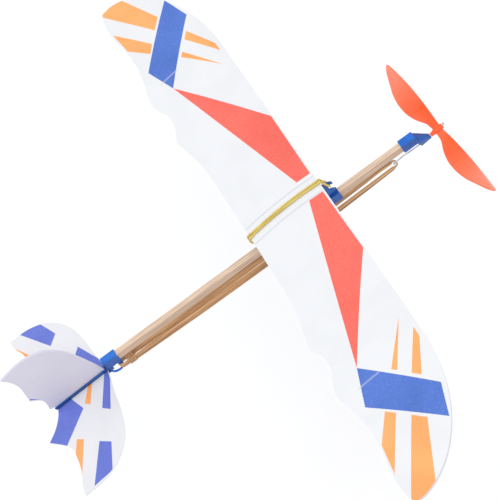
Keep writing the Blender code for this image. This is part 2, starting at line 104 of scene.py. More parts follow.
# Half the width of the rubber loops: at the front turn, where the lower one is slacker, in the middle,
# and at the rear turn
FRONT_TURN = 1.9
LOWER_SLACK = 0.5
UPPER_HALF = 2.4
LOWER_HALF = 2.5
REAR_TURN = 2.45
# How far each loop lies above or below the line from the hook to the eye, and what it sags besides
LOOP_LEVEL = 1.3
UPPER_SAG = -1.0
LOWER_SAG = -3.5
STRIP_WIDTH = 2.5
STRIP_THICKNESS = 1.1
# Away from its ends the strip stands at an angle, which wavers a little along the loop
STRIP_TURN = 55.0
STRIP_WAVER = 14.0

# The wraps round the rubber near the tail
TIE_X = -160.0
TIE_HEIGHT = -9.3
TIE_HALF_WIDTH = 4.9
TIE_HALF_HEIGHT = 3.8
TIE_LENGTH = 6.0
TIE_TURNS = 5
TIE_RADIUS = 0.5

# The wing's upper face: its rear edge at the middle, its rise to the front edge, its camber, the half
# width of its flat middle, and the slope and bow of the panels outside that
WING_REAR = -35.0
WING_FRONT = 28.0
WING_HEIGHT = 23.5
WING_RISE = 4.6
WING_CAMBER = 2.6
WING_FLAT_HALF = 7.4
WING_SLOPE = 0.055
WING_BOW = 0.00006
WING_FOAM = 2.2

# The wing's outline: the leading edge is straight as far as TAPER_START and then nearly a quarter of an
# ellipse. The mesh is finer over the last TIP_WIDTH of each side.
HALF_SPAN = 247.5
TIP_WIDTH = 15.5
TAPER_START = 150.0
TAPER_LENGTH = 98.0
TAPER_DEPTH = 63.0
WING_TRAILING = (
    (0, -35), (60, -35), (80, -36.5), (98, -40.5), (107, -42), (112, -40), (119, -37), (130, -36.5),
    (138, -40), (147, -43), (156, -42), (170, -38.5), (188, -36), (205, -37), (222, -39.5),
    (238, -39), (248, -36),
)

MOUNT_REAR = -33.0
MOUNT_FRONT = 26.5
WEB_THICKNESS = 2.2
SADDLE_GAP = 0.25
SADDLE_THICKNESS = 1.2
SADDLE_WIDTH = 14.0

BAND_LIFT = 1.05
BAND_WIDTH = 1.6
BAND_THICKNESS = 1.3

# The tail's own frame is tilted about a point under the rear end of the tail socket
TAIL_PIVOT = (-178.0, 0.0, -2.2)
TAIL_TILT = -3.0
TAIL_FOAM = 1.8
TAILPLANE_DROP = 2.65
RAIL_REAR = -50.0
RAIL_FRONT = 3.0
RAIL_HALF_WIDTH = 1.9
RAIL_SLOT_HALF = 1.15
RAIL_HALF_HEIGHT = 1.5
RAIL_FLOOR_TOP = -0.7
TONGUE_BOTTOM = -4.7

# Outlines of the tail in runs; each run is smooth and the runs meet in corners
FIN_RUNS = (
    ((-2.2, -0.4), (-2.4, 3.0), (-6.0, 37.0), (-9.2, 51.0), (-15.6, 62.8), (-21.0, 67.6), (-30.0, 70.4),
     (-39.3, 70.4), (-53.4, 67.2)),
    ((-53.4, 67.2), (-50.4, 58.5), (-50.2, 47.0), (-54.4, 30.8)),
    ((-54.4, 30.8), (-50.4, 21.0), (-50.2, 12.6), (-53.0, 3.0)),
    ((-53.0, 3.0), (-49.6, 1.9)),
    ((-49.6, 1.9), (-49.5, -0.4)),
)
STABILIZER_RUNS = (
    ((-1.2, 0.0), (-2.6, 8.0), (-5.0, 20.0), (-6.4, 32.0), (-9.2, 45.0), (-13.2, 54.5), (-20.4, 63.6),
     (-29.5, 70.2), (-43.5, 74.6), (-59.6, 75.2)),
    ((-59.6, 75.2), (-58.4, 67.5), (-54.6, 58.0), (-52.8, 46.0), (-54.0, 34.5), (-66.6, 20.8)),
    ((-66.6, 20.8), (-58.0, 14.6), (-51.6, 7.0), (-48.6, 0.0)),
)

# Printed patches as convex outlines, (forward, out from the middle), both sides alike; the whole
# print sits a little to port on its sheet
PRINT_SHIFT = 1.3
RED = (0.84, 0.122, 0.087)
BLUE = (0.058, 0.148, 0.53)
TAIL_BLUE = (0.108, 0.152, 0.565)
ORANGE = (0.91, 0.36, 0.108)
WING_PRINTS = (
    (RED, ((26.4, 9.5), (27.2, 69.5), (-21.5, 144.6), (14.8, 9.5))),
    (BLUE, ((-21.5, 144.6), (19.0, 191.5), (11.3, 215.4), (-31.0, 171.9))),
    (ORANGE, ((-0.5, 206.6), (-20.5, 251.0), (-40.0, 248.5), (-8.2, 198.2))),
    (ORANGE, ((-15.8, 190.0), (-21.4, 183.9), (-35.3, 201.5), (-38.0, 223.6))),
    (ORANGE, ((11.6, 178.9), (6.7, 173.5), (24.6, 145.1), (24.4, 153.8))),
    (ORANGE, ((0.1, 165.4), (-3.0, 162.1), (20.3, 132.8))),
)
TAIL_PRINTS = (
    (TAIL_BLUE, ((-24.0, 53.7), (-31.9, 47.2), (-50.5, 75.0), (-33.0, 73.5))),
    (TAIL_BLUE, ((1.0, 2.0), (-13.2, 31.2), (-18.5, 26.0), (-3.5, 0.5))),
    (TAIL_BLUE, ((-36.7, 2.0), (-31.2, 16.0), (-55.5, 33.5), (-68.5, 20.5), (-48.0, 2.0))),
    (ORANGE, ((-40.2, 38.9), (-46.6, 33.9), (-52.5, 44.0), (-58.5, 67.5), (-55.4, 62.0))),
    (ORANGE, ((-15.0, 0.5), (-25.1, 17.1), (-28.8, 13.6), (-18.6, 0.5))),
)

# Creases in the wing's foam: (distance from the middle, rear end, front end, strength)
CREASES = ((WING_FLAT_HALF, -36.0, 29.0, 0.6), (156.6, -30.0, -9.0, 0.4))
CREASE_SHADE = (0.60, 0.61, 0.68)

# Pairs of colours between which a material wanders
BLUES = ((0.006, 0.115, 0.52), (0.017, 0.17, 0.63))
# Darker blue for the sockets' port and starboard faces and the nose neck: painted shade
SHADED_SIDE_BLUES = ((0.004, 0.066, 0.32), (0.011, 0.1, 0.41))
# Darker blue for the wing mount and the tail rail, chin and tongue: painted shade
SHADED_BLUES = ((0.005, 0.062, 0.29), (0.012, 0.1, 0.40))
PINES = ((0.52, 0.35, 0.23), (0.83, 0.655, 0.50))
# Darker pine for the stick's port and starboard faces: painted shade
SHADED_PINE_SIDES = ((0.38, 0.245, 0.155), (0.64, 0.475, 0.355))
BROWNS = ((0.36, 0.18, 0.075), (0.74, 0.44, 0.21))
# Paler rubber for the strips' narrow sides, which is a painted highlight
EDGE_HIGHLIGHTS = ((0.58, 0.36, 0.19), (0.85, 0.64, 0.42))
YELLOWS = ((0.54, 0.375, 0.055), (0.76, 0.59, 0.15))

FLOOR_HEIGHT = -0.22
FLOOR_HALF = 6.0
CAMERA_PLACE = (0.11825, -0.66229, 0.9422)
CAMERA_TURN = (27.221, 23.278, -28.879)
CAMERA_LENS = 116.15
CAMERA_SENSOR = 36.0


# ---------------------------------------------------------------- shapes


def world(point):
    """A point of the plane's layout, in the frame."""
    return (Vector(point) - CENTRE) * MM


PLANE = Matrix.Translation(-CENTRE * MM)
UPRIGHT = Matrix.Rotation(math.pi / 2, 4, "X")
TAIL = PLANE @ Matrix.Translation(Vector(TAIL_PIVOT) * MM) @ Matrix.Rotation(math.radians(TAIL_TILT), 4, "Y")
SHAFT_IN_PLANE = (
    Matrix.Translation(Vector(SHAFT_MIDDLE) * MM)
    @ Matrix.Rotation(math.radians(SHAFT_YAW), 4, "Z")
    @ Matrix.Rotation(math.radians(-SHAFT_PITCH), 4, "Y")
)
SHAFT = PLANE @ SHAFT_IN_PLANE


def add(name, mesh, *materials):
    """Add a mesh to the scene as an object, with its materials."""
    item = bpy.data.objects.new(name.replace(" ", "_"), mesh)
    bpy.context.scene.collection.objects.link(item)
    for material in materials:
        mesh.materials.append(material)
    return item


def round_edges(item, width, segments=3, angle=35, harden=True):
    """Bevel the edges that are sharper than an angle; the width is in millimetres."""
    rounding = item.modifiers.new("rounding", "BEVEL")
    rounding.width = width * MM
    rounding.segments = segments
    rounding.limit_method = "ANGLE"
    rounding.angle_limit = math.radians(angle)
    rounding.harden_normals = harden


def thicken(item, thickness, offset):
    """Give a sheet a thickness in millimetres; an offset of -1 puts all of it behind the sheet."""
    solid = item.modifiers.new("thickness", "SOLIDIFY")
    solid.thickness = thickness * MM
    solid.offset = offset
    return solid


def finish_form(name, form, materials, place=PLANE, smooth=True, bevel=0.0):
    """Turn a bmesh into an object, with outward normals and softly rounded edges."""
    bmesh.ops.transform(form, matrix=place, verts=form.verts)
    bmesh.ops.recalc_face_normals(form, faces=form.faces)
    mesh = bpy.data.meshes.new(name)
    form.to_mesh(mesh)
    form.free()
    for face in mesh.polygons:
        face.use_smooth = smooth
    item = add(name, mesh, *materials)
    if bevel:
        round_edges(item, bevel)
    return item


def box(name, low, high, materials, place=PLANE, bevel=0.3):
    """A box from its low and high corners."""
    low, high = np.array(low, dtype=float), np.array(high, dtype=float)
    form = bmesh.new()
    size = Matrix.Diagonal((*((high - low) * MM), 1.0))
    bmesh.ops.create_cube(form, size=1.0, matrix=Matrix.Translation(Vector((low + high) / 2) * MM) @ size)
    return finish_form(name, form, materials, place, bevel=bevel)


def hull(name, points, materials, bevel):
    """The convex hull of some points, with its coplanar faces joined."""
    form = bmesh.new()
    for point in points:
        form.verts.new(Vector(point) * MM)
    found = bmesh.ops.convex_hull(form, input=form.verts)
    loose = {v for v in found["geom_interior"] + found["geom_unused"] if isinstance(v, bmesh.types.BMVert)}
    bmesh.ops.delete(form, geom=list(loose), context="VERTS")
    bmesh.ops.dissolve_limit(form, angle_limit=0.02, verts=form.verts, edges=form.edges)
    return finish_form(name, form, materials, bevel=bevel)


def lathe(name, profile, materials, place, steps=48, bevel=0.18):
    """A ring turned about its own X axis, from the (radius, x) corners of its section."""
    form = bmesh.new()
    points = [form.verts.new(Vector((x, 0.0, radius)) * MM) for radius, x in profile]
    edges = [form.edges.new(pair) for pair in zip(points, points[1:] + points[:1])]
    bmesh.ops.spin(
        form, geom=points + edges, cent=(0, 0, 0), axis=(1, 0, 0), angle=2 * math.pi, steps=steps,
        use_merge=True,
    )
    bmesh.ops.remove_doubles(form, verts=form.verts, dist=0.0000005)
    return finish_form(name, form, materials, place, bevel=bevel)


def smooth_points(points, steps, closed=False):
    """Catmull-Rom points through the given points."""
    points = np.array(points, dtype=float)
    count = len(points)
    result = []
    for span in range(count if closed else count - 1):
        near = [(span + k) % count if closed else min(max(span + k, 0), count - 1) for k in (-1, 0, 1, 2)]
        a, b, c, d = points[near]
        for t in np.arange(steps) / steps:
            bend = (2 * a - 5 * b + 4 * c - d) * t**2 + (3 * b - a - 3 * c + d) * t**3
            result.append(0.5 * (2 * b + (c - a) * t + bend))
    if not closed:
        result.append(points[-1])
    return np.array(result)


def mesh_of_curve(name, data, materials, place, smooth=True):
    """Turn a curve into a closed mesh object."""
    source = bpy.data.objects.new(name, data)
    bpy.context.scene.collection.objects.link(source)
    bpy.context.view_layer.update()
    depsgraph = bpy.context.evaluated_depsgraph_get()
    mesh = bpy.data.meshes.new_from_object(source.evaluated_get(depsgraph))
    bpy.data.objects.remove(source)
    form = bmesh.new()
    form.from_mesh(mesh)
    bpy.data.meshes.remove(mesh)
    bmesh.ops.remove_doubles(form, verts=form.verts, dist=0.000002)
    return finish_form(name, form, materials, place, smooth)


def tube(name, points, radius, materials, place=PLANE, closed=False, resolution=5):
    """A round wire along some points, with filled ends unless it is closed."""
    data = bpy.data.curves.new(name, "CURVE")
    data.dimensions = "3D"
    data.bevel_depth = radius * MM
    data.bevel_resolution = resolution
    data.use_fill_caps = True
    spline = data.splines.new("POLY")
    spline.points.add(len(points) - 1)
    for knot, point in zip(spline.points, points):
        knot.co = (*(Vector(point) * MM), 1.0)
    spline.use_cyclic_u = closed
    return mesh_of_curve(name, data, materials, place)


def squared(value, power):
    """A sine or cosine pushed towards its ends, which makes a circle squarer."""
    return math.copysign(abs(value) ** power, value)


def ribbon(name, points, ups, width, height, materials):
    """A closed band of squarish section along a ring of points; ups points out of its flat side.

    Its two narrow sides take the second material.
    """
    points = np.array(points, dtype=float)
    ups = np.array(ups, dtype=float)
    count = len(points)
    form = bmesh.new()
    sides = 16
    squareness = 0.55
    section = []
    for turn in np.linspace(0, 2 * math.pi, sides, endpoint=False):
        across, up = squared(math.cos(turn), squareness), squared(math.sin(turn), squareness)
        section.append((across * width / 2, up * height / 2))
    narrow_sides = (0, sides // 2 - 1, sides // 2, sides - 1)
    rings = []
    for index in range(count):
        along = points[(index + 1) % count] - points[index - 1]
        along /= np.linalg.norm(along)
        up = ups[index] - along * (ups[index] @ along)
        up /= np.linalg.norm(up)
        side = np.cross(up, along)
        rings.append([form.verts.new(Vector(points[index] + side * a + up * b) * MM) for a, b in section])
    for index in range(count):
        near, far = rings[index], rings[(index + 1) % count]
        for k in range(sides):
            after = (k + 1) % sides
            face = form.faces.new((near[k], near[after], far[after], far[k]))
            face.material_index = 1 if k in narrow_sides else 0
    return finish_form(name, form, materials)


def plate(name, outline, thickness, materials, place, edge):
    """A flat sheet with rounded edges, from an outline in its own X and Y."""
    data = bpy.data.curves.new(name, "CURVE")
    data.dimensions = "2D"
    data.fill_mode = "BOTH"
    data.extrude = (thickness / 2 - edge) * MM
    data.bevel_depth = edge * MM
    data.bevel_resolution = 2
    data.offset = -edge * MM
    spline = data.splines.new("POLY")
    spline.points.add(len(outline) - 1)
    for knot, point in zip(spline.points, outline):
        knot.co = (point[0] * MM, point[1] * MM, 0.0, 1.0)
    spline.use_cyclic_u = True
    return mesh_of_curve(name, data, materials, place, smooth=False)


def outline_of(runs, steps):
    """Join smooth runs into one outline with corners between them."""
    points = []
    for run in runs:
        points.extend(smooth_points(run, steps)[:-1] if len(run) > 2 else run[:-1])
    points.append(runs[-1][-1])
    return [tuple(p) for p in points]


# ---------------------------------------------------------------- materials


class Shade:
    """A Principled material with short ways to add nodes."""

    def __init__(self, name, colour=(0.8, 0.8, 0.8), roughness=0.5, **settings):
        self.material = bpy.data.materials.new(name)
        self.material.use_nodes = True
        self.tree = self.material.node_tree
        self.shader = self.tree.nodes["Principled BSDF"]
        self.shader.inputs["Base Color"].default_value = (*colour, 1.0)
        self.shader.inputs["Roughness"].default_value = roughness
        for key, value in settings.items():
            self.shader.inputs[key.replace("_", " ")].default_value = value

    def node(self, kind, inputs=(), **settings):
        made = self.tree.nodes.new("ShaderNode" + kind)
        for key, value in settings.items():
            setattr(made, key, value)
        for key, value in dict(inputs).items():
            self.put(made.inputs[key], value)
        return made

    def put(self, socket, value):
        """Link a node's output to a socket, or set the socket's own value."""
        if isinstance(value, bpy.types.NodeSocket):
            self.tree.links.new(value, socket)
        else:
            socket.default_value = value

    def math(self, operation, a, b=0.0):
        made = self.node("Math", operation=operation)
        self.put(made.inputs[0], a)
        self.put(made.inputs[1], b)
        return made.outputs[0]

    def mix(self, amount, a, b):
        """Go from colour a to colour b."""
        made = self.node("Mix", data_type="RGBA")
        self.put(made.inputs[0], amount)
        for index, colour in ((6, a), (7, b)):
            value = colour if isinstance(colour, bpy.types.NodeSocket) else (*colour, 1.0)
            self.put(made.inputs[index], value)
        return made.outputs[2]

    def spread(self, value, low, high, start=0.0, end=1.0):
        """Go smoothly from start to end while the value goes from low to high."""
        sockets = {0: value, 1: low, 2: high, 3: start, 4: end}
        return self.node("MapRange", sockets, interpolation_type="SMOOTHSTEP").outputs[0]

    def place(self, scale=(1.0, 1.0, 1.0)):
        """Position in the frame in millimetres, scaled along each axis."""
        coordinates = self.node("TexCoord").outputs["Object"]
        sockets = {0: coordinates, 1: tuple(s / MM for s in scale)}
        return self.node("VectorMath", sockets, operation="MULTIPLY").outputs[0]

    def noise(self, vector, scale, detail=3.0, roughness=0.5):
        sockets = {"Vector": vector, "Scale": scale, "Detail": detail, "Roughness": roughness}
        return self.node("TexNoise", sockets).outputs["Fac"]

    def bump(self, height, strength, distance):
        made = self.node("Bump", {"Height": height, "Strength": strength, "Distance": distance})
        self.tree.links.new(made.outputs[0], self.shader.inputs["Normal"])

    def colour(self, socket):
        self.tree.links.new(socket, self.shader.inputs["Base Color"])

    def rough(self, socket):
        self.tree.links.new(socket, self.shader.inputs["Roughness"])


def foam_material(name, prints=(), place=PLANE, creases=(), white=(0.79, 0.80, 0.82)):
    """Fine-celled white foam, with crisp ink patches that let a few pale specks through."""
    shade = Shade(name, white, 0.62, Subsurface_Weight=0.06)
    shade.shader.inputs["Subsurface Radius"].default_value = (0.004, 0.004, 0.005)
    here = shade.place()
    cells = shade.node("TexVoronoi", {"Vector": here, "Scale": 0.85, "Smoothness": 0.6}, feature="SMOOTH_F1")
    fine = shade.noise(here, 1.6, 4.0, 0.6)
    slow = shade.noise(here, 0.035, 2.0)
    height = shade.math("ADD", cells.outputs["Distance"], shade.math("MULTIPLY", fine, 0.5))
    grey = tuple(0.97 * c for c in white)
    tint = shade.mix(shade.spread(slow, 0.35, 0.65), grey, white)
    tint = shade.mix(shade.spread(fine, 0.52, 0.72, 0.0, 0.2), tint, tuple(0.84 * c for c in white))
    if prints:
        flat = flat_place(shade, here, place, PRINT_SHIFT)
        for ink, corners in prints:
            inside = polygon_distance(shade, flat, corners)
            ragged = shade.math("MULTIPLY", shade.math("SUBTRACT", fine, 0.5), 0.5)
            mask = shade.spread(shade.math("ADD", inside, ragged), -0.12, 0.12)
            specks = shade.spread(shade.noise(here, 0.9, 6.0, 0.8), 0.53, 0.68, 1.0, 0.8)
            stronger = tuple(min(1.0, c * 1.12 + 0.01) for c in ink)
            deep = shade.mix(shade.spread(slow, 0.3, 0.7), ink, stronger)
            tint = shade.mix(shade.math("MULTIPLY", mask, specks), tint, deep)
        split = shade.node("SeparateXYZ", {0: flat_place(shade, here, place, 0.0)})
        for out, rear, front, strength in creases:
            away = shade.math("ABSOLUTE", shade.math("SUBTRACT", split.outputs[1], out))
            along = shade.math("ABSOLUTE", shade.math("SUBTRACT", split.outputs[0], (front + rear) / 2))
            reach = shade.spread(along, (front - rear) / 2 - 3, (front - rear) / 2, 1.0, 0.0)
            line = shade.math("MULTIPLY", shade.spread(away, 0.2, 1.2, 1.0, 0.0), reach)
            height = shade.math("SUBTRACT", height, shade.math("MULTIPLY", line, 2.2))
            tint = shade.mix(shade.math("MULTIPLY", line, strength), tint, CREASE_SHADE)
    shade.colour(tint)
    shade.bump(height, 0.25, 0.0003)
    return shade.material


def flat_place(shade, here, place, shift):
    """(forward, distance from a line near the middle, 1) on a sheet, from the position in the frame."""
    if place is TAIL:
        pivot = world(TAIL_PIVOT) / MM
        sockets = {"Vector": here, "Center": tuple(pivot), "Angle": -math.radians(TAIL_TILT)}
        turned = shade.node("VectorRotate", sockets, rotation_type="Y_AXIS").outputs[0]
        start = pivot.x
    else:
        turned = here
        start = -CENTRE.x
    split = shade.node("SeparateXYZ", {0: turned})
    forward = shade.math("SUBTRACT", split.outputs[0], start)
    out = shade.math("ABSOLUTE", shade.math("SUBTRACT", split.outputs[1], shift))
    return shade.node("CombineXYZ", {0: forward, 1: out, 2: 1.0}).outputs[0]


def polygon_distance(shade, flat, corners):
    """How far inside a convex outline a point is, in millimetres; below zero outside it."""
    middle = np.mean(corners, axis=0)
    nearest = None
    for a, b in zip(corners, corners[1:] + corners[:1]):
        a, b = np.array(a), np.array(b)
        normal = np.array((b[1] - a[1], a[0] - b[0])) / np.linalg.norm(b - a)
        if normal @ (middle - a) < 0:
            normal = -normal
        line = (float(normal[0]), float(normal[1]), float(-normal @ a))
        away = shade.node("VectorMath", {0: flat, 1: line}, operation="DOT_PRODUCT").outputs["Value"]
        nearest = away if nearest is None else shade.math("MINIMUM", nearest, away)
    return nearest


def wood_material(name, dark, pale):
    """Pine with long grain, broad pink-brown bands and short dark pores."""
    shade = Shade(name, roughness=0.6)
    long = shade.place((0.028, 1.0, 1.0))
    grain = shade.noise(long, 1.3, 6.0, 0.6)
    broad = shade.noise(long, 0.35, 2.0)
    pores = shade.noise(shade.place((0.09, 2.2, 2.2)), 2.2, 3.0, 0.7)
    tint = shade.mix(shade.spread(grain, 0.3, 0.66), dark, pale)
    tint = shade.mix(shade.spread(broad, 0.42, 0.62, 0.0, 0.5), tint, (0.66, 0.43, 0.31))
    tint = shade.mix(shade.spread(pores, 0.60, 0.72, 0.0, 0.4), tint, (0.38, 0.235, 0.15))
    shade.colour(tint)
    shade.bump(shade.math("ADD", grain, pores), 0.2, 0.0002)
    return shade.material


def plastic_material(name, colour, pale):
    """Moulded plastic: slightly uneven gloss, flow marks and fine scuffs."""
    roughness = 0.3
    shade = Shade(name, colour, roughness, Specular_IOR_Level=0.38)
    here = shade.place()
    flow = shade.noise(here, 0.12, 3.0)
    scuff = shade.noise(shade.place((0.2, 1.0, 1.0)), 1.8, 4.0, 0.7)
    tint = shade.mix(shade.spread(flow, 0.3, 0.7), colour, pale)
    shade.colour(shade.mix(shade.spread(scuff, 0.62, 0.78, 0.0, 0.25), tint, pale))
    shade.rough(shade.spread(scuff, 0.3, 0.75, roughness - 0.07, roughness + 0.15))
    shade.bump(shade.math("ADD", flow, shade.math("MULTIPLY", scuff, 0.3)), 0.06, 0.0004)
    return shade.material


def propeller_material():
    """Glossy orange: strong at the hub and paler away from it, painted light showing through the thin
    blades.
    """
    shade = Shade("orange", roughness=0.3, Specular_IOR_Level=0.5)
    here = shade.place()
    middle = tuple(SHAFT @ Vector((BLADE_FRONT * MM, 0, 0)) / MM)
    hub = shade.node("VectorMath", {0: here, 1: middle}, operation="SUBTRACT").outputs[0]
    out = shade.node("VectorMath", {0: hub}, operation="LENGTH").outputs["Value"]
    cloud = shade.noise(here, 0.09, 2.0)
    # Paler away from the hub: painted light showing through the blades
    tint = shade.mix(shade.spread(out, 12.0, 58.0), (1.0, 0.10, 0.014), (1.0, 0.195, 0.085))
    shade.colour(shade.mix(shade.spread(cloud, 0.35, 0.7, 0.0, 0.3), tint, (1.0, 0.165, 0.045)))
    shade.rough(shade.spread(cloud, 0.3, 0.7, 0.26, 0.36))
    shade.bump(cloud, 0.08, 0.0006)
    return shade.material


def rubber_material(name, dark, pale, hook_darkening=0.0):
    """Cut rubber strip: a dusty bloom, fine cut lines, and darker towards the hook by a given share."""
    shade = Shade(name, dark, 0.5, Sheen_Weight=0.2, Specular_IOR_Level=0.45)
    here = shade.place((0.02, 1.0, 1.0))
    lines = shade.noise(here, 0.9, 4.0, 0.65)
    dust = shade.noise(shade.place(), 0.7, 4.0, 0.7)
    tint = shade.mix(shade.spread(lines, 0.35, 0.7), dark, pale)
    bloom = tuple(min(1.0, c * 1.35) for c in pale)
    tint = shade.mix(shade.spread(dust, 0.58, 0.8, 0.0, 0.3), tint, bloom)
    if hook_darkening:
        along = shade.node("SeparateXYZ", {0: shade.place()}).outputs[0]
        hook = (SHAFT @ Vector((HOOK_BACK * MM, 0, 0))).x / MM
        near = shade.spread(along, hook - 60.0, hook - 25.0, 0.0, hook_darkening)
        tint = shade.mix(near, tint, tuple(0.4 * c for c in dark))
    shade.colour(tint)
    shade.rough(shade.spread(dust, 0.3, 0.7, 0.4, 0.65))
    shade.bump(lines, 0.25, 0.0002)
    return shade.material


def steel_material():
    """Drawn steel wire, with fine streaks along it."""
    shade = Shade("drawn steel wire", (0.62, 0.62, 0.64), 0.26, Metallic=1.0)
    drawn = shade.noise(shade.place((0.1, 2.0, 2.0)), 1.5, 4.0)
    shade.colour(shade.mix(shade.spread(drawn, 0.4, 0.7), (0.66, 0.66, 0.68), (0.48, 0.48, 0.50)))
    shade.rough(shade.spread(drawn, 0.3, 0.7, 0.2, 0.36))
    return shade.material


BLUE_PLASTIC = plastic_material("blue plastic", *BLUES)
SHADED_SIDE_BLUE = plastic_material("blue plastic painted side shade", *SHADED_SIDE_BLUES)
SHADED_BLUE = plastic_material("blue plastic painted shade", *SHADED_BLUES)
PINE = wood_material("pine", *PINES)
SHADED_PINE_SIDE = wood_material("pine painted side shade", *SHADED_PINE_SIDES)
STEEL = steel_material()
ORANGE_PLASTIC = propeller_material()
BROWN = rubber_material("brown rubber", *BROWNS)
EDGE_HIGHLIGHT = rubber_material("rubber edge painted highlight", *EDGE_HIGHLIGHTS)
DARKER_EDGE_HIGHLIGHT = rubber_material("darker rubber edge painted highlight", *EDGE_HIGHLIGHTS, hook_darkening=0.6)
DARK_BROWN = rubber_material("dark brown rubber", *BROWNS, hook_darkening=0.6)
YELLOW = rubber_material("yellow rubber", *YELLOWS)
WING_TOP = foam_material("wing print", WING_PRINTS, PLANE, CREASES)
PLAIN_FOAM = foam_material("foam")
# The fin's foam is greyer and cooler than the rest: painted shade on its upright faces
SHADED_FIN_FOAM = foam_material("fin foam", white=(0.68, 0.655, 0.75))
# Greyer foam on the wing's cut edges: painted shade
SHADED_RIM_FOAM = foam_material("foam edge painted shade", white=(0.70, 0.70, 0.74))
TAIL_TOP = foam_material("tail print", TAIL_PRINTS, TAIL, white=(0.77, 0.77, 0.80))


def fit(item, body, node):
    """The piece rides a body and stands for a CAD node."""
    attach(item, body)
    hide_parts(node)


# ---------------------------------------------------------------- wing


def wing_top(x, y):
    """The height of the wing's upper face."""
    along = (x - WING_REAR) / (WING_FRONT - WING_REAR)
    out = math.sqrt(max(abs(y) - WING_FLAT_HALF, 0.0) ** 2 + 1.0) - 1.0
    middle = WING_HEIGHT + WING_RISE * along + 4 * WING_CAMBER * along * (1 - along)
    return middle + WING_SLOPE * out + WING_BOW * out**2


def wing_leading(y):
    """How far forward the wing's leading edge is."""
    along = max(abs(y) - TAPER_START, 0.0) / TAPER_LENGTH
    return WING_FRONT - TAPER_DEPTH * (1 - math.sqrt(1 - along**2))


def build_wing():
    """The foam wing, a bowed sheet with its print on top."""
    row_gap = 1.6
    near = np.arange(0.0, HALF_SPAN - TIP_WIDTH, row_gap)
    tip = HALF_SPAN - TIP_WIDTH * (1 - np.sin(np.linspace(0, math.pi / 2, 14)))
    half = np.concatenate([near, tip])
    across = np.concatenate([-half[:0:-1], half])
    notches = smooth_points(WING_TRAILING, 8)
    form = bmesh.new()
    bmesh.ops.create_grid(form, x_segments=28, y_segments=len(across) - 1, size=0.5)
    for vert in form.verts:
        y = float(across[round((vert.co.y + 0.5) * (len(across) - 1))])
        part = (1 - math.cos(math.pi * (vert.co.x + 0.5))) / 2
        rear = float(np.interp(abs(y), notches[:, 0], notches[:, 1]))
        x = rear + (wing_leading(y) - rear) * part
        vert.co = Vector((x, y, wing_top(x, y))) * MM
    wing = finish_form("wing foam", form, (WING_TOP, PLAIN_FOAM, SHADED_RIM_FOAM))
    if wing.data.polygons[0].normal.z < 0:
        wing.data.flip_normals()
    solid = thicken(wing, WING_FOAM, -1.0)
    solid.material_offset = 1
    # The rim takes the greyer edge foam, which is painted shade
    solid.material_offset_rim = 2
    round_edges(wing, 0.4, segments=2, angle=50)
    fit(wing, "wing_unit", "wing")


def build_wing_mount():
    """The blue mount: a web with a hook at each end, two sleeves, and a saddle under the wing."""
    saddle_top = WING_FOAM + SADDLE_GAP
    web_top = saddle_top + SADDLE_THICKNESS / 2
    top = [(x, wing_top(x, 0) - web_top) for x in np.linspace(MOUNT_REAR, MOUNT_FRONT, 14)]
    # The web's two ends as seen from the side, each with its hook
    rear = [(-31.0, 5.0), (-31.0, 13.2), (-33.6, 13.4), (-34.8, 12.6), (-35.4, 12.5), (-35.7, 13.0),
            (-35.4, 14.3), (-34.2, 15.2), (-31.2, 15.6)]
    front = [(28.3, 22.6), (30.4, 21.4), (33.7, 20.9), (34.9, 19.8), (35.2, 18.8), (34.9, 18.3),
             (34.3, 18.4), (33.3, 19.2), (30.9, 19.6), (30.9, 13.2), (33.8, 11.8), (34.2, 5.0)]
    # Every part of the mount takes the darker blue, which is painted shade
    web = plate("mount web", rear + top + front, WEB_THICKNESS, (SHADED_BLUE,), PLANE @ UPRIGHT, 0.35)
    fit(web, "wing_unit", "wing_mount")
    for name, (start, end) in (("front sleeve", FRONT_SLEEVE), ("rear sleeve", REAR_SLEEVE)):
        fit(stick_box(name, start, end, SHADED_BLUE, SHADED_BLUE), "wing_unit", "wing_mount")
    form = bmesh.new()
    bmesh.ops.create_grid(form, x_segments=24, y_segments=2, size=0.5)
    for vert in form.verts:
        x = float(np.interp(vert.co.x, (-0.5, 0.5), (MOUNT_REAR, MOUNT_FRONT)))
        vert.co = Vector((x, SADDLE_WIDTH * vert.co.y, wing_top(x, 0) - saddle_top)) * MM
    saddle = finish_form("mount saddle", form, (SHADED_BLUE,))
    thicken(saddle, SADDLE_THICKNESS, -1.0 if saddle.data.polygons[0].normal.z > 0 else 1.0)
    fit(saddle, "wing_unit", "wing_mount")


def stick_box(name, start, end, top, side):
    """A moulded box round the stick, with a second material, painted side shade, to port and starboard."""
    low = (start, STICK[0][1] - SOCKET_GROW, -SOCKET_GROW)
    high = (end, STICK[1][1] + SOCKET_GROW, STICK[1][2] + SOCKET_GROW)
    item = box(name, low, high, (top, side), bevel=0.45)
    use_second_material_aside(item)
    return item


def use_second_material_aside(item):
    """Put the second material, painted side shade, on the faces to port and starboard."""
    for face in item.data.polygons:
        face.material_index = 1 if abs(face.normal.y) > 0.5 else 0


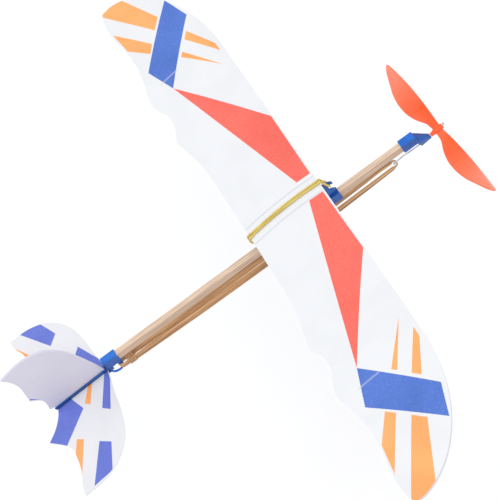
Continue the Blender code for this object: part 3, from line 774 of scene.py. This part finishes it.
def build_band():
    """The yellow band: two strands side by side over the wing, and a bight under each hook."""
    lift = BAND_LIFT
    # The port side of the ring, from under the front hook, over the wing and down under the rear hook
    over = [(x, wing_top(x, 0) + lift) for x in (25, 16, 5, -6, -18, -28, -33)]
    spread = (0.95, 0.82, 0.82, 0.82, 0.82, 0.82, 1.0)
    side = [(32.2, 1.2, 19.3 - lift), (32.2, 2.0, 19.3), (31.0, 1.9, 22.6), (29.8, 1.6, 25.6),
            (29.2, 1.4, wing_top(28, 0) + 0.4), (27.8, 1.15, wing_top(28, 0) + lift + 0.2)]
    side += [(x, y, z) for (x, z), y in zip(over, spread)]
    side += [(-35.0, 1.2, wing_top(-35, 0) + lift + 0.1), (-36.4, 1.4, wing_top(-35, 0) - 0.2),
             (-36.5, 1.6, 20.5), (-34.0, 2.1, 14.6), (-32.6, 2.0, 13.1), (-32.4, 1.2, 13.3 - lift)]
    ring = side + [(x, -y, z) for x, y, z in reversed(side)]
    points = smooth_points(ring, 8, True)
    ups = []
    for x, y, z in points:
        ups.append((x * 0.012, 0.0, 1.0) if z > 24 else (math.copysign(1.0, x), 0.0, 0.35))
    band = ribbon("yellow band", points, ups, BAND_WIDTH, BAND_THICKNESS, (YELLOW, YELLOW))
    fit(band, "wing_unit", "wing_band")


# ---------------------------------------------------------------- nose, tail and stick


def build_stick():
    """The wooden motor stick."""
    # Its port and starboard faces take the darker pine: painted shade
    stick = box("pine stick", *STICK, (PINE, SHADED_PINE_SIDE), bevel=0.35)
    use_second_material_aside(stick)
    fit(stick, "airframe", "motor_stick")


def on_shaft(point):
    """A point of the shaft's own frame, in the plane's layout."""
    return tuple(SHAFT_IN_PLANE @ (Vector(point) * MM) / MM)


def build_nose():
    """The nose socket and its neck, which narrows to the round bearing of the shaft."""
    fit(stick_box("nose socket", *NOSE_SOCKET, BLUE_PLASTIC, SHADED_SIDE_BLUE), "airframe", "nose_bearing")
    root = NOSE_SOCKET[1] - 1.0
    corners = [(root, side * NECK_HALF_WIDTH, height) for side in (-1, 1) for height in NECK_HEIGHTS]
    turns = np.linspace(0, 2 * math.pi, 40, endpoint=False)
    round_section = [(BEARING_RADIUS * math.cos(t), BEARING_RADIUS * math.sin(t)) for t in turns]
    rings = [on_shaft((x, y, z)) for x in (-BEARING_HALF, BEARING_HALF) for y, z in round_section]
    # The neck takes the darker side blue: painted shade
    fit(hull("nose neck", corners + rings, (SHADED_SIDE_BLUE,), 0.25), "airframe", "nose_bearing")


def build_tail_mount():
    """The tail socket with the rail that holds the fin, the tongue under the tail, and the eye."""
    fit(stick_box("tail socket", *TAIL_SOCKET, BLUE_PLASTIC, SHADED_SIDE_BLUE), "airframe", "tail_mount")
    rear, front, half = RAIL_REAR, RAIL_FRONT, RAIL_HALF_WIDTH
    slot, bottom, top = RAIL_SLOT_HALF, -RAIL_HALF_HEIGHT, RAIL_HALF_HEIGHT
    walls = (
        ("tail rail floor", (rear, -half, bottom), (front, half, RAIL_FLOOR_TOP)),
        ("tail rail port wall", (rear, slot, bottom), (front, half, top)),
        ("tail rail starboard wall", (rear, -half, bottom), (front, -slot, top)),
        ("tail chin", (-0.9, -half, TONGUE_BOTTOM), (front, half, -0.5)),
        ("tail tongue", (-28.0, -2.5, TONGUE_BOTTOM), (0.5, 2.5, -3.8)),
    )
    # The rail, chin and tongue take the darker blue, which is painted shade
    for name, low, high in walls:
        fit(box(name, low, high, (SHADED_BLUE,), TAIL, 0.2), "airframe", "tail_mount")
    x, z, radius = EYE
    turns = np.linspace(0, 2 * math.pi, 64, endpoint=False)
    ring = [(x + radius * math.cos(t), 0.0, z + radius * math.sin(t)) for t in turns]
    eye = tube("tail eye", ring, EYE_WIRE_RADIUS, (BLUE_PLASTIC,), closed=True)
    fit(eye, "airframe", "tail_mount")
    low, high = (x - 1.3, -1.3, z + radius - 0.4), (x + 1.3, 1.3, -0.6)
    fit(box("eye stem", low, high, (BLUE_PLASTIC,)), "airframe", "tail_mount")


def build_tail_surfaces():
    """The fin, and the horizontal tail with its print on top."""
    # The fin takes the greyer foam, which is painted shade
    fin = plate("fin foam", outline_of(FIN_RUNS, 8), TAIL_FOAM, (SHADED_FIN_FOAM,), TAIL @ UPRIGHT, 0.3)
    fit(fin, "airframe", "fin")
    port = outline_of(STABILIZER_RUNS, 8)
    starboard = [(x, -y) for x, y in reversed(port[1:-1])]
    lower = TAIL @ Matrix.Translation((0, 0, -TAILPLANE_DROP * MM))
    tailplane = plate("stabilizer foam", port + starboard, TAIL_FOAM, (TAIL_TOP, PLAIN_FOAM), lower, 0.3)
    for face in tailplane.data.polygons:
        face.material_index = 0 if face.normal.z > 0.9 else 1
    fit(tailplane, "airframe", "stabilizer")


# ---------------------------------------------------------------- propeller and rubber


def build_blade(name, turn):
    """One blade, turned about the shaft by an angle in degrees."""
    form = bmesh.new()
    rows, columns = 60, 16
    bmesh.ops.create_grid(form, x_segments=rows, y_segments=columns, size=0.5)
    stations = smooth_points(list(zip(BLADE_RADII, BLADE_DEPTHS)), 8)
    for vert in form.verts:
        out = math.sin((vert.co.x + 0.5) * math.pi / 2)
        radius = BLADE_RADII[0] + (BLADE_RADII[-1] - BLADE_RADII[0]) * out
        depth = float(np.interp(radius, stations[:, 0], stations[:, 1]))
        back = vert.co.y + 0.5
        across = (back - 0.5) * depth * 2 * math.pi * radius / BLADE_PITCH
        camber = 4 * BLADE_CAMBER * depth * back * (1 - back)
        bulge = BLADE_BULGE * math.sin(math.pi * out) * (1 - back)
        vert.co = Vector((BLADE_FRONT - back * depth + camber + bulge, across, radius)) * MM
    blade = finish_form(name, form, (ORANGE_PLASTIC,), SHAFT @ Matrix.Rotation(math.radians(turn), 4, "X"))
    thicken(blade, BLADE_THICKNESS, 0.0)
    round_edges(blade, 0.25, segments=2, angle=50, harden=False)
    fit(blade, "prop_unit", "propeller")


def build_propeller():
    """The hub, the two blades, and the wire shaft with its bent front end and its hook at the back."""
    profile = ((0.7, 15.9), (1.6, 15.9), (1.9, 15.6), (2.2, 15.0), (2.3, 13.5), (2.3, 9.2), (2.15, 8.2),
               (1.8, 7.6), (1.6, 6.8), (1.6, 5.1), (0.7, 5.1))
    fit(lathe("propeller hub", profile, (ORANGE_PLASTIC,), SHAFT), "prop_unit", "propeller")
    build_blade("port blade", -BLADE_LEAN)
    build_blade("starboard blade", 180 - BLADE_LEAN)
    back, half = HOOK_BACK, HOOK_HALF
    hook = [(back + 8.5, 0.0), (back + 7.3, 0.2), (back + 5.8, 1.9), (back + 4.4, half - 0.1),
            (back + 1.4, half), (back + 0.4, half - 0.4), (back, half - 1.3), (back, 1.3 - half),
            (back + 0.4, 0.4 - half), (back + 1.4, -half), (back + 4.4, -half), (back + 5.6, 0.7 - half)]
    wire = [(16.9, 0.0, 2.2), (17.3, 0.0, 1.2), (16.9, 0.0, 0.35), (16.1, 0.0, 0.0), (5.0, 0.0, 0.0),
            (-BEARING_HALF - 1.5, 0.0, 0.0)] + [(x, *leaned(HOOK_OFFSET, z, HOOK_LEAN)) for x, z in hook]
    points = smooth_points(wire, 5)
    fit(tube("shaft wire", points, WIRE_RADIUS, (STEEL,), SHAFT), "prop_unit", "prop_shaft")


def hook_middle():
    """The middle of the shaft's hook, in the plane's layout."""
    return on_shaft((HOOK_BACK, *leaned(HOOK_OFFSET, 0.0, HOOK_LEAN)))


def leaned(across, height, lean):
    """Turn a point of a cross-section about the middle, with its top going to starboard."""
    turn = math.radians(lean)
    aside = across * math.cos(turn) - height * math.sin(turn)
    return aside, across * math.sin(turn) + height * math.cos(turn)


def loop_path(level, middle_half, sag, front_turn):
    """Points and thickness directions of a rubber loop between the shaft's hook and the tail's eye."""
    front = Vector(hook_middle())
    rear = Vector((EYE[0] + EYE[2], 0.0, EYE[1]))
    points, ups = [], []

    def put(part, ahead, across, up):
        middle = front.lerp(rear, part) + Vector((ahead, 0.0, sag * math.sin(math.pi * part)))
        points.append(middle + Vector((0.0, *leaned(across, level, HOOK_LEAN * (1 - part)))))
        ups.append(up)

    def put_ring(part, radius, start):
        lean = HOOK_LEAN * (1 - part)
        for turn in np.radians(np.linspace(start, start + 180, 13)):
            up = (math.cos(turn), *leaned(math.sin(turn), 0.0, lean))
            put(part, radius * math.cos(turn), radius * math.sin(turn), up)

    def put_side(side, parts):
        for part in parts:
            swell = math.sin(math.pi * part) ** 0.6
            half = front_turn + (REAR_TURN - front_turn) * part**4 + (middle_half - front_turn) * swell
            ease = min(1.0, math.sin(math.pi * part) * 2.2)
            waver = STRIP_WAVER * math.sin(17 * part + level)
            tilt = side * 90 + (STRIP_TURN + waver) * ease
            turn = math.radians(tilt + HOOK_LEAN * (1 - part) * (1 - ease))
            put(part, 0.0, side * half, (0.0, math.sin(turn), math.cos(turn)))

    parts = np.linspace(0, 1, 110)[1:-1]
    put_ring(0.0, front_turn, -90)
    put_side(1, parts)
    put_ring(1.0, REAR_TURN, 90)
    put_side(-1, parts[::-1])
    return points, ups


def build_rubber():
    """The two rubber loops, which take up the shaft's turn just behind its hook."""
    lower_turn = FRONT_TURN + LOWER_SLACK
    # Each strip's narrow sides take the paler edge rubber: a painted highlight
    loops = (
        ("rubber_loop_upper", LOOP_LEVEL, UPPER_HALF, UPPER_SAG, FRONT_TURN, (BROWN, EDGE_HIGHLIGHT)),
        ("rubber_loop_lower", -LOOP_LEVEL, LOWER_HALF, LOWER_SAG, lower_turn, (DARK_BROWN, DARKER_EDGE_HIGHLIGHT)),
    )
    for node, level, half, sag, front_turn, rubbers in loops:
        points, ups = loop_path(level, half, sag, front_turn)
        name = node.replace("_", " ") + " strip"
        item = ribbon(name, points, ups, STRIP_WIDTH, STRIP_THICKNESS, rubbers)
        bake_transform(item)
        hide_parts(node)


def build_tie():
    """The ring round the rubber near the tail, as turns of a thin strand."""
    steps = 40
    last = TIE_TURNS * steps
    squareness = 0.6
    coil = []
    for k in range(last + 1):
        angle = 2 * math.pi * k / steps
        across = (TIE_HALF_WIDTH - 0.8) * squared(math.cos(angle), squareness)
        up = (TIE_HALF_HEIGHT - TIE_RADIUS) * squared(math.sin(angle), squareness)
        coil.append((TIE_X - TIE_LENGTH / 2 + TIE_LENGTH * k / last, across, TIE_HEIGHT + up))
    fit(tube("rubber tie wraps", coil, TIE_RADIUS, (BROWN,)), "airframe", "rubber_tie")


# ---------------------------------------------------------------- studio


def build_floor():
    """A pale floor well below the plane; it is scenery and no part of the plane."""
    shade = Shade("floor", (0.97, 0.97, 0.975), 0.85)
    form = bmesh.new()
    bmesh.ops.create_grid(form, x_segments=1, y_segments=1, size=FLOOR_HALF)
    floor = finish_form("floor", form, (shade.material,), Matrix.Translation((0, 0, FLOOR_HEIGHT)))
    if floor.data.polygons[0].normal.z < 0:
        floor.data.flip_normals()


def build_light():
    """An even pale surround, a large warm key lamp and a cooler fill lamp."""
    scene = bpy.context.scene
    surround = bpy.data.worlds.new("studio")
    surround.use_nodes = True
    background = surround.node_tree.nodes["Background"]
    background.inputs["Color"].default_value = (0.97, 0.98, 1.0, 1.0)
    background.inputs["Strength"].default_value = 0.82
    scene.world = surround
    lamps = (
        ("key", (0.5, -0.7, 1.9), 1.8, 15.0, (1.0, 0.985, 0.96)),
        ("fill", (-1.4, 0.9, 1.6), 2.0, 9.0, (0.94, 0.97, 1.0)),
    )
    for name, place, size, power, colour in lamps:
        data = bpy.data.lights.new(name, "AREA")
        data.shape = "DISK"
        data.size = size
        data.energy = power
        data.color = colour
        lamp = bpy.data.objects.new(name, data)
        lamp.location = place
        lamp.rotation_euler = (-Vector(place)).to_track_quat("-Z", "Y").to_euler()
        scene.collection.objects.link(lamp)


def build_camera():
    """The camera, high on the plane's starboard side."""
    data = bpy.data.cameras.new("camera")
    data.sensor_width = CAMERA_SENSOR
    data.lens = CAMERA_LENS
    camera = bpy.data.objects.new("camera", data)
    camera.location = CAMERA_PLACE
    camera.rotation_euler = [math.radians(angle) for angle in CAMERA_TURN]
    bpy.context.scene.collection.objects.link(camera)
    bpy.context.scene.camera = camera


def build():
    build_stick()
    build_nose()
    build_tail_mount()
    build_tail_surfaces()
    build_wing()
    build_wing_mount()
    build_band()
    build_propeller()
    build_rubber()
    build_tie()
    build_floor()
    build_light()
    build_camera()
    bpy.context.scene.view_settings.view_transform = "Standard"


build()
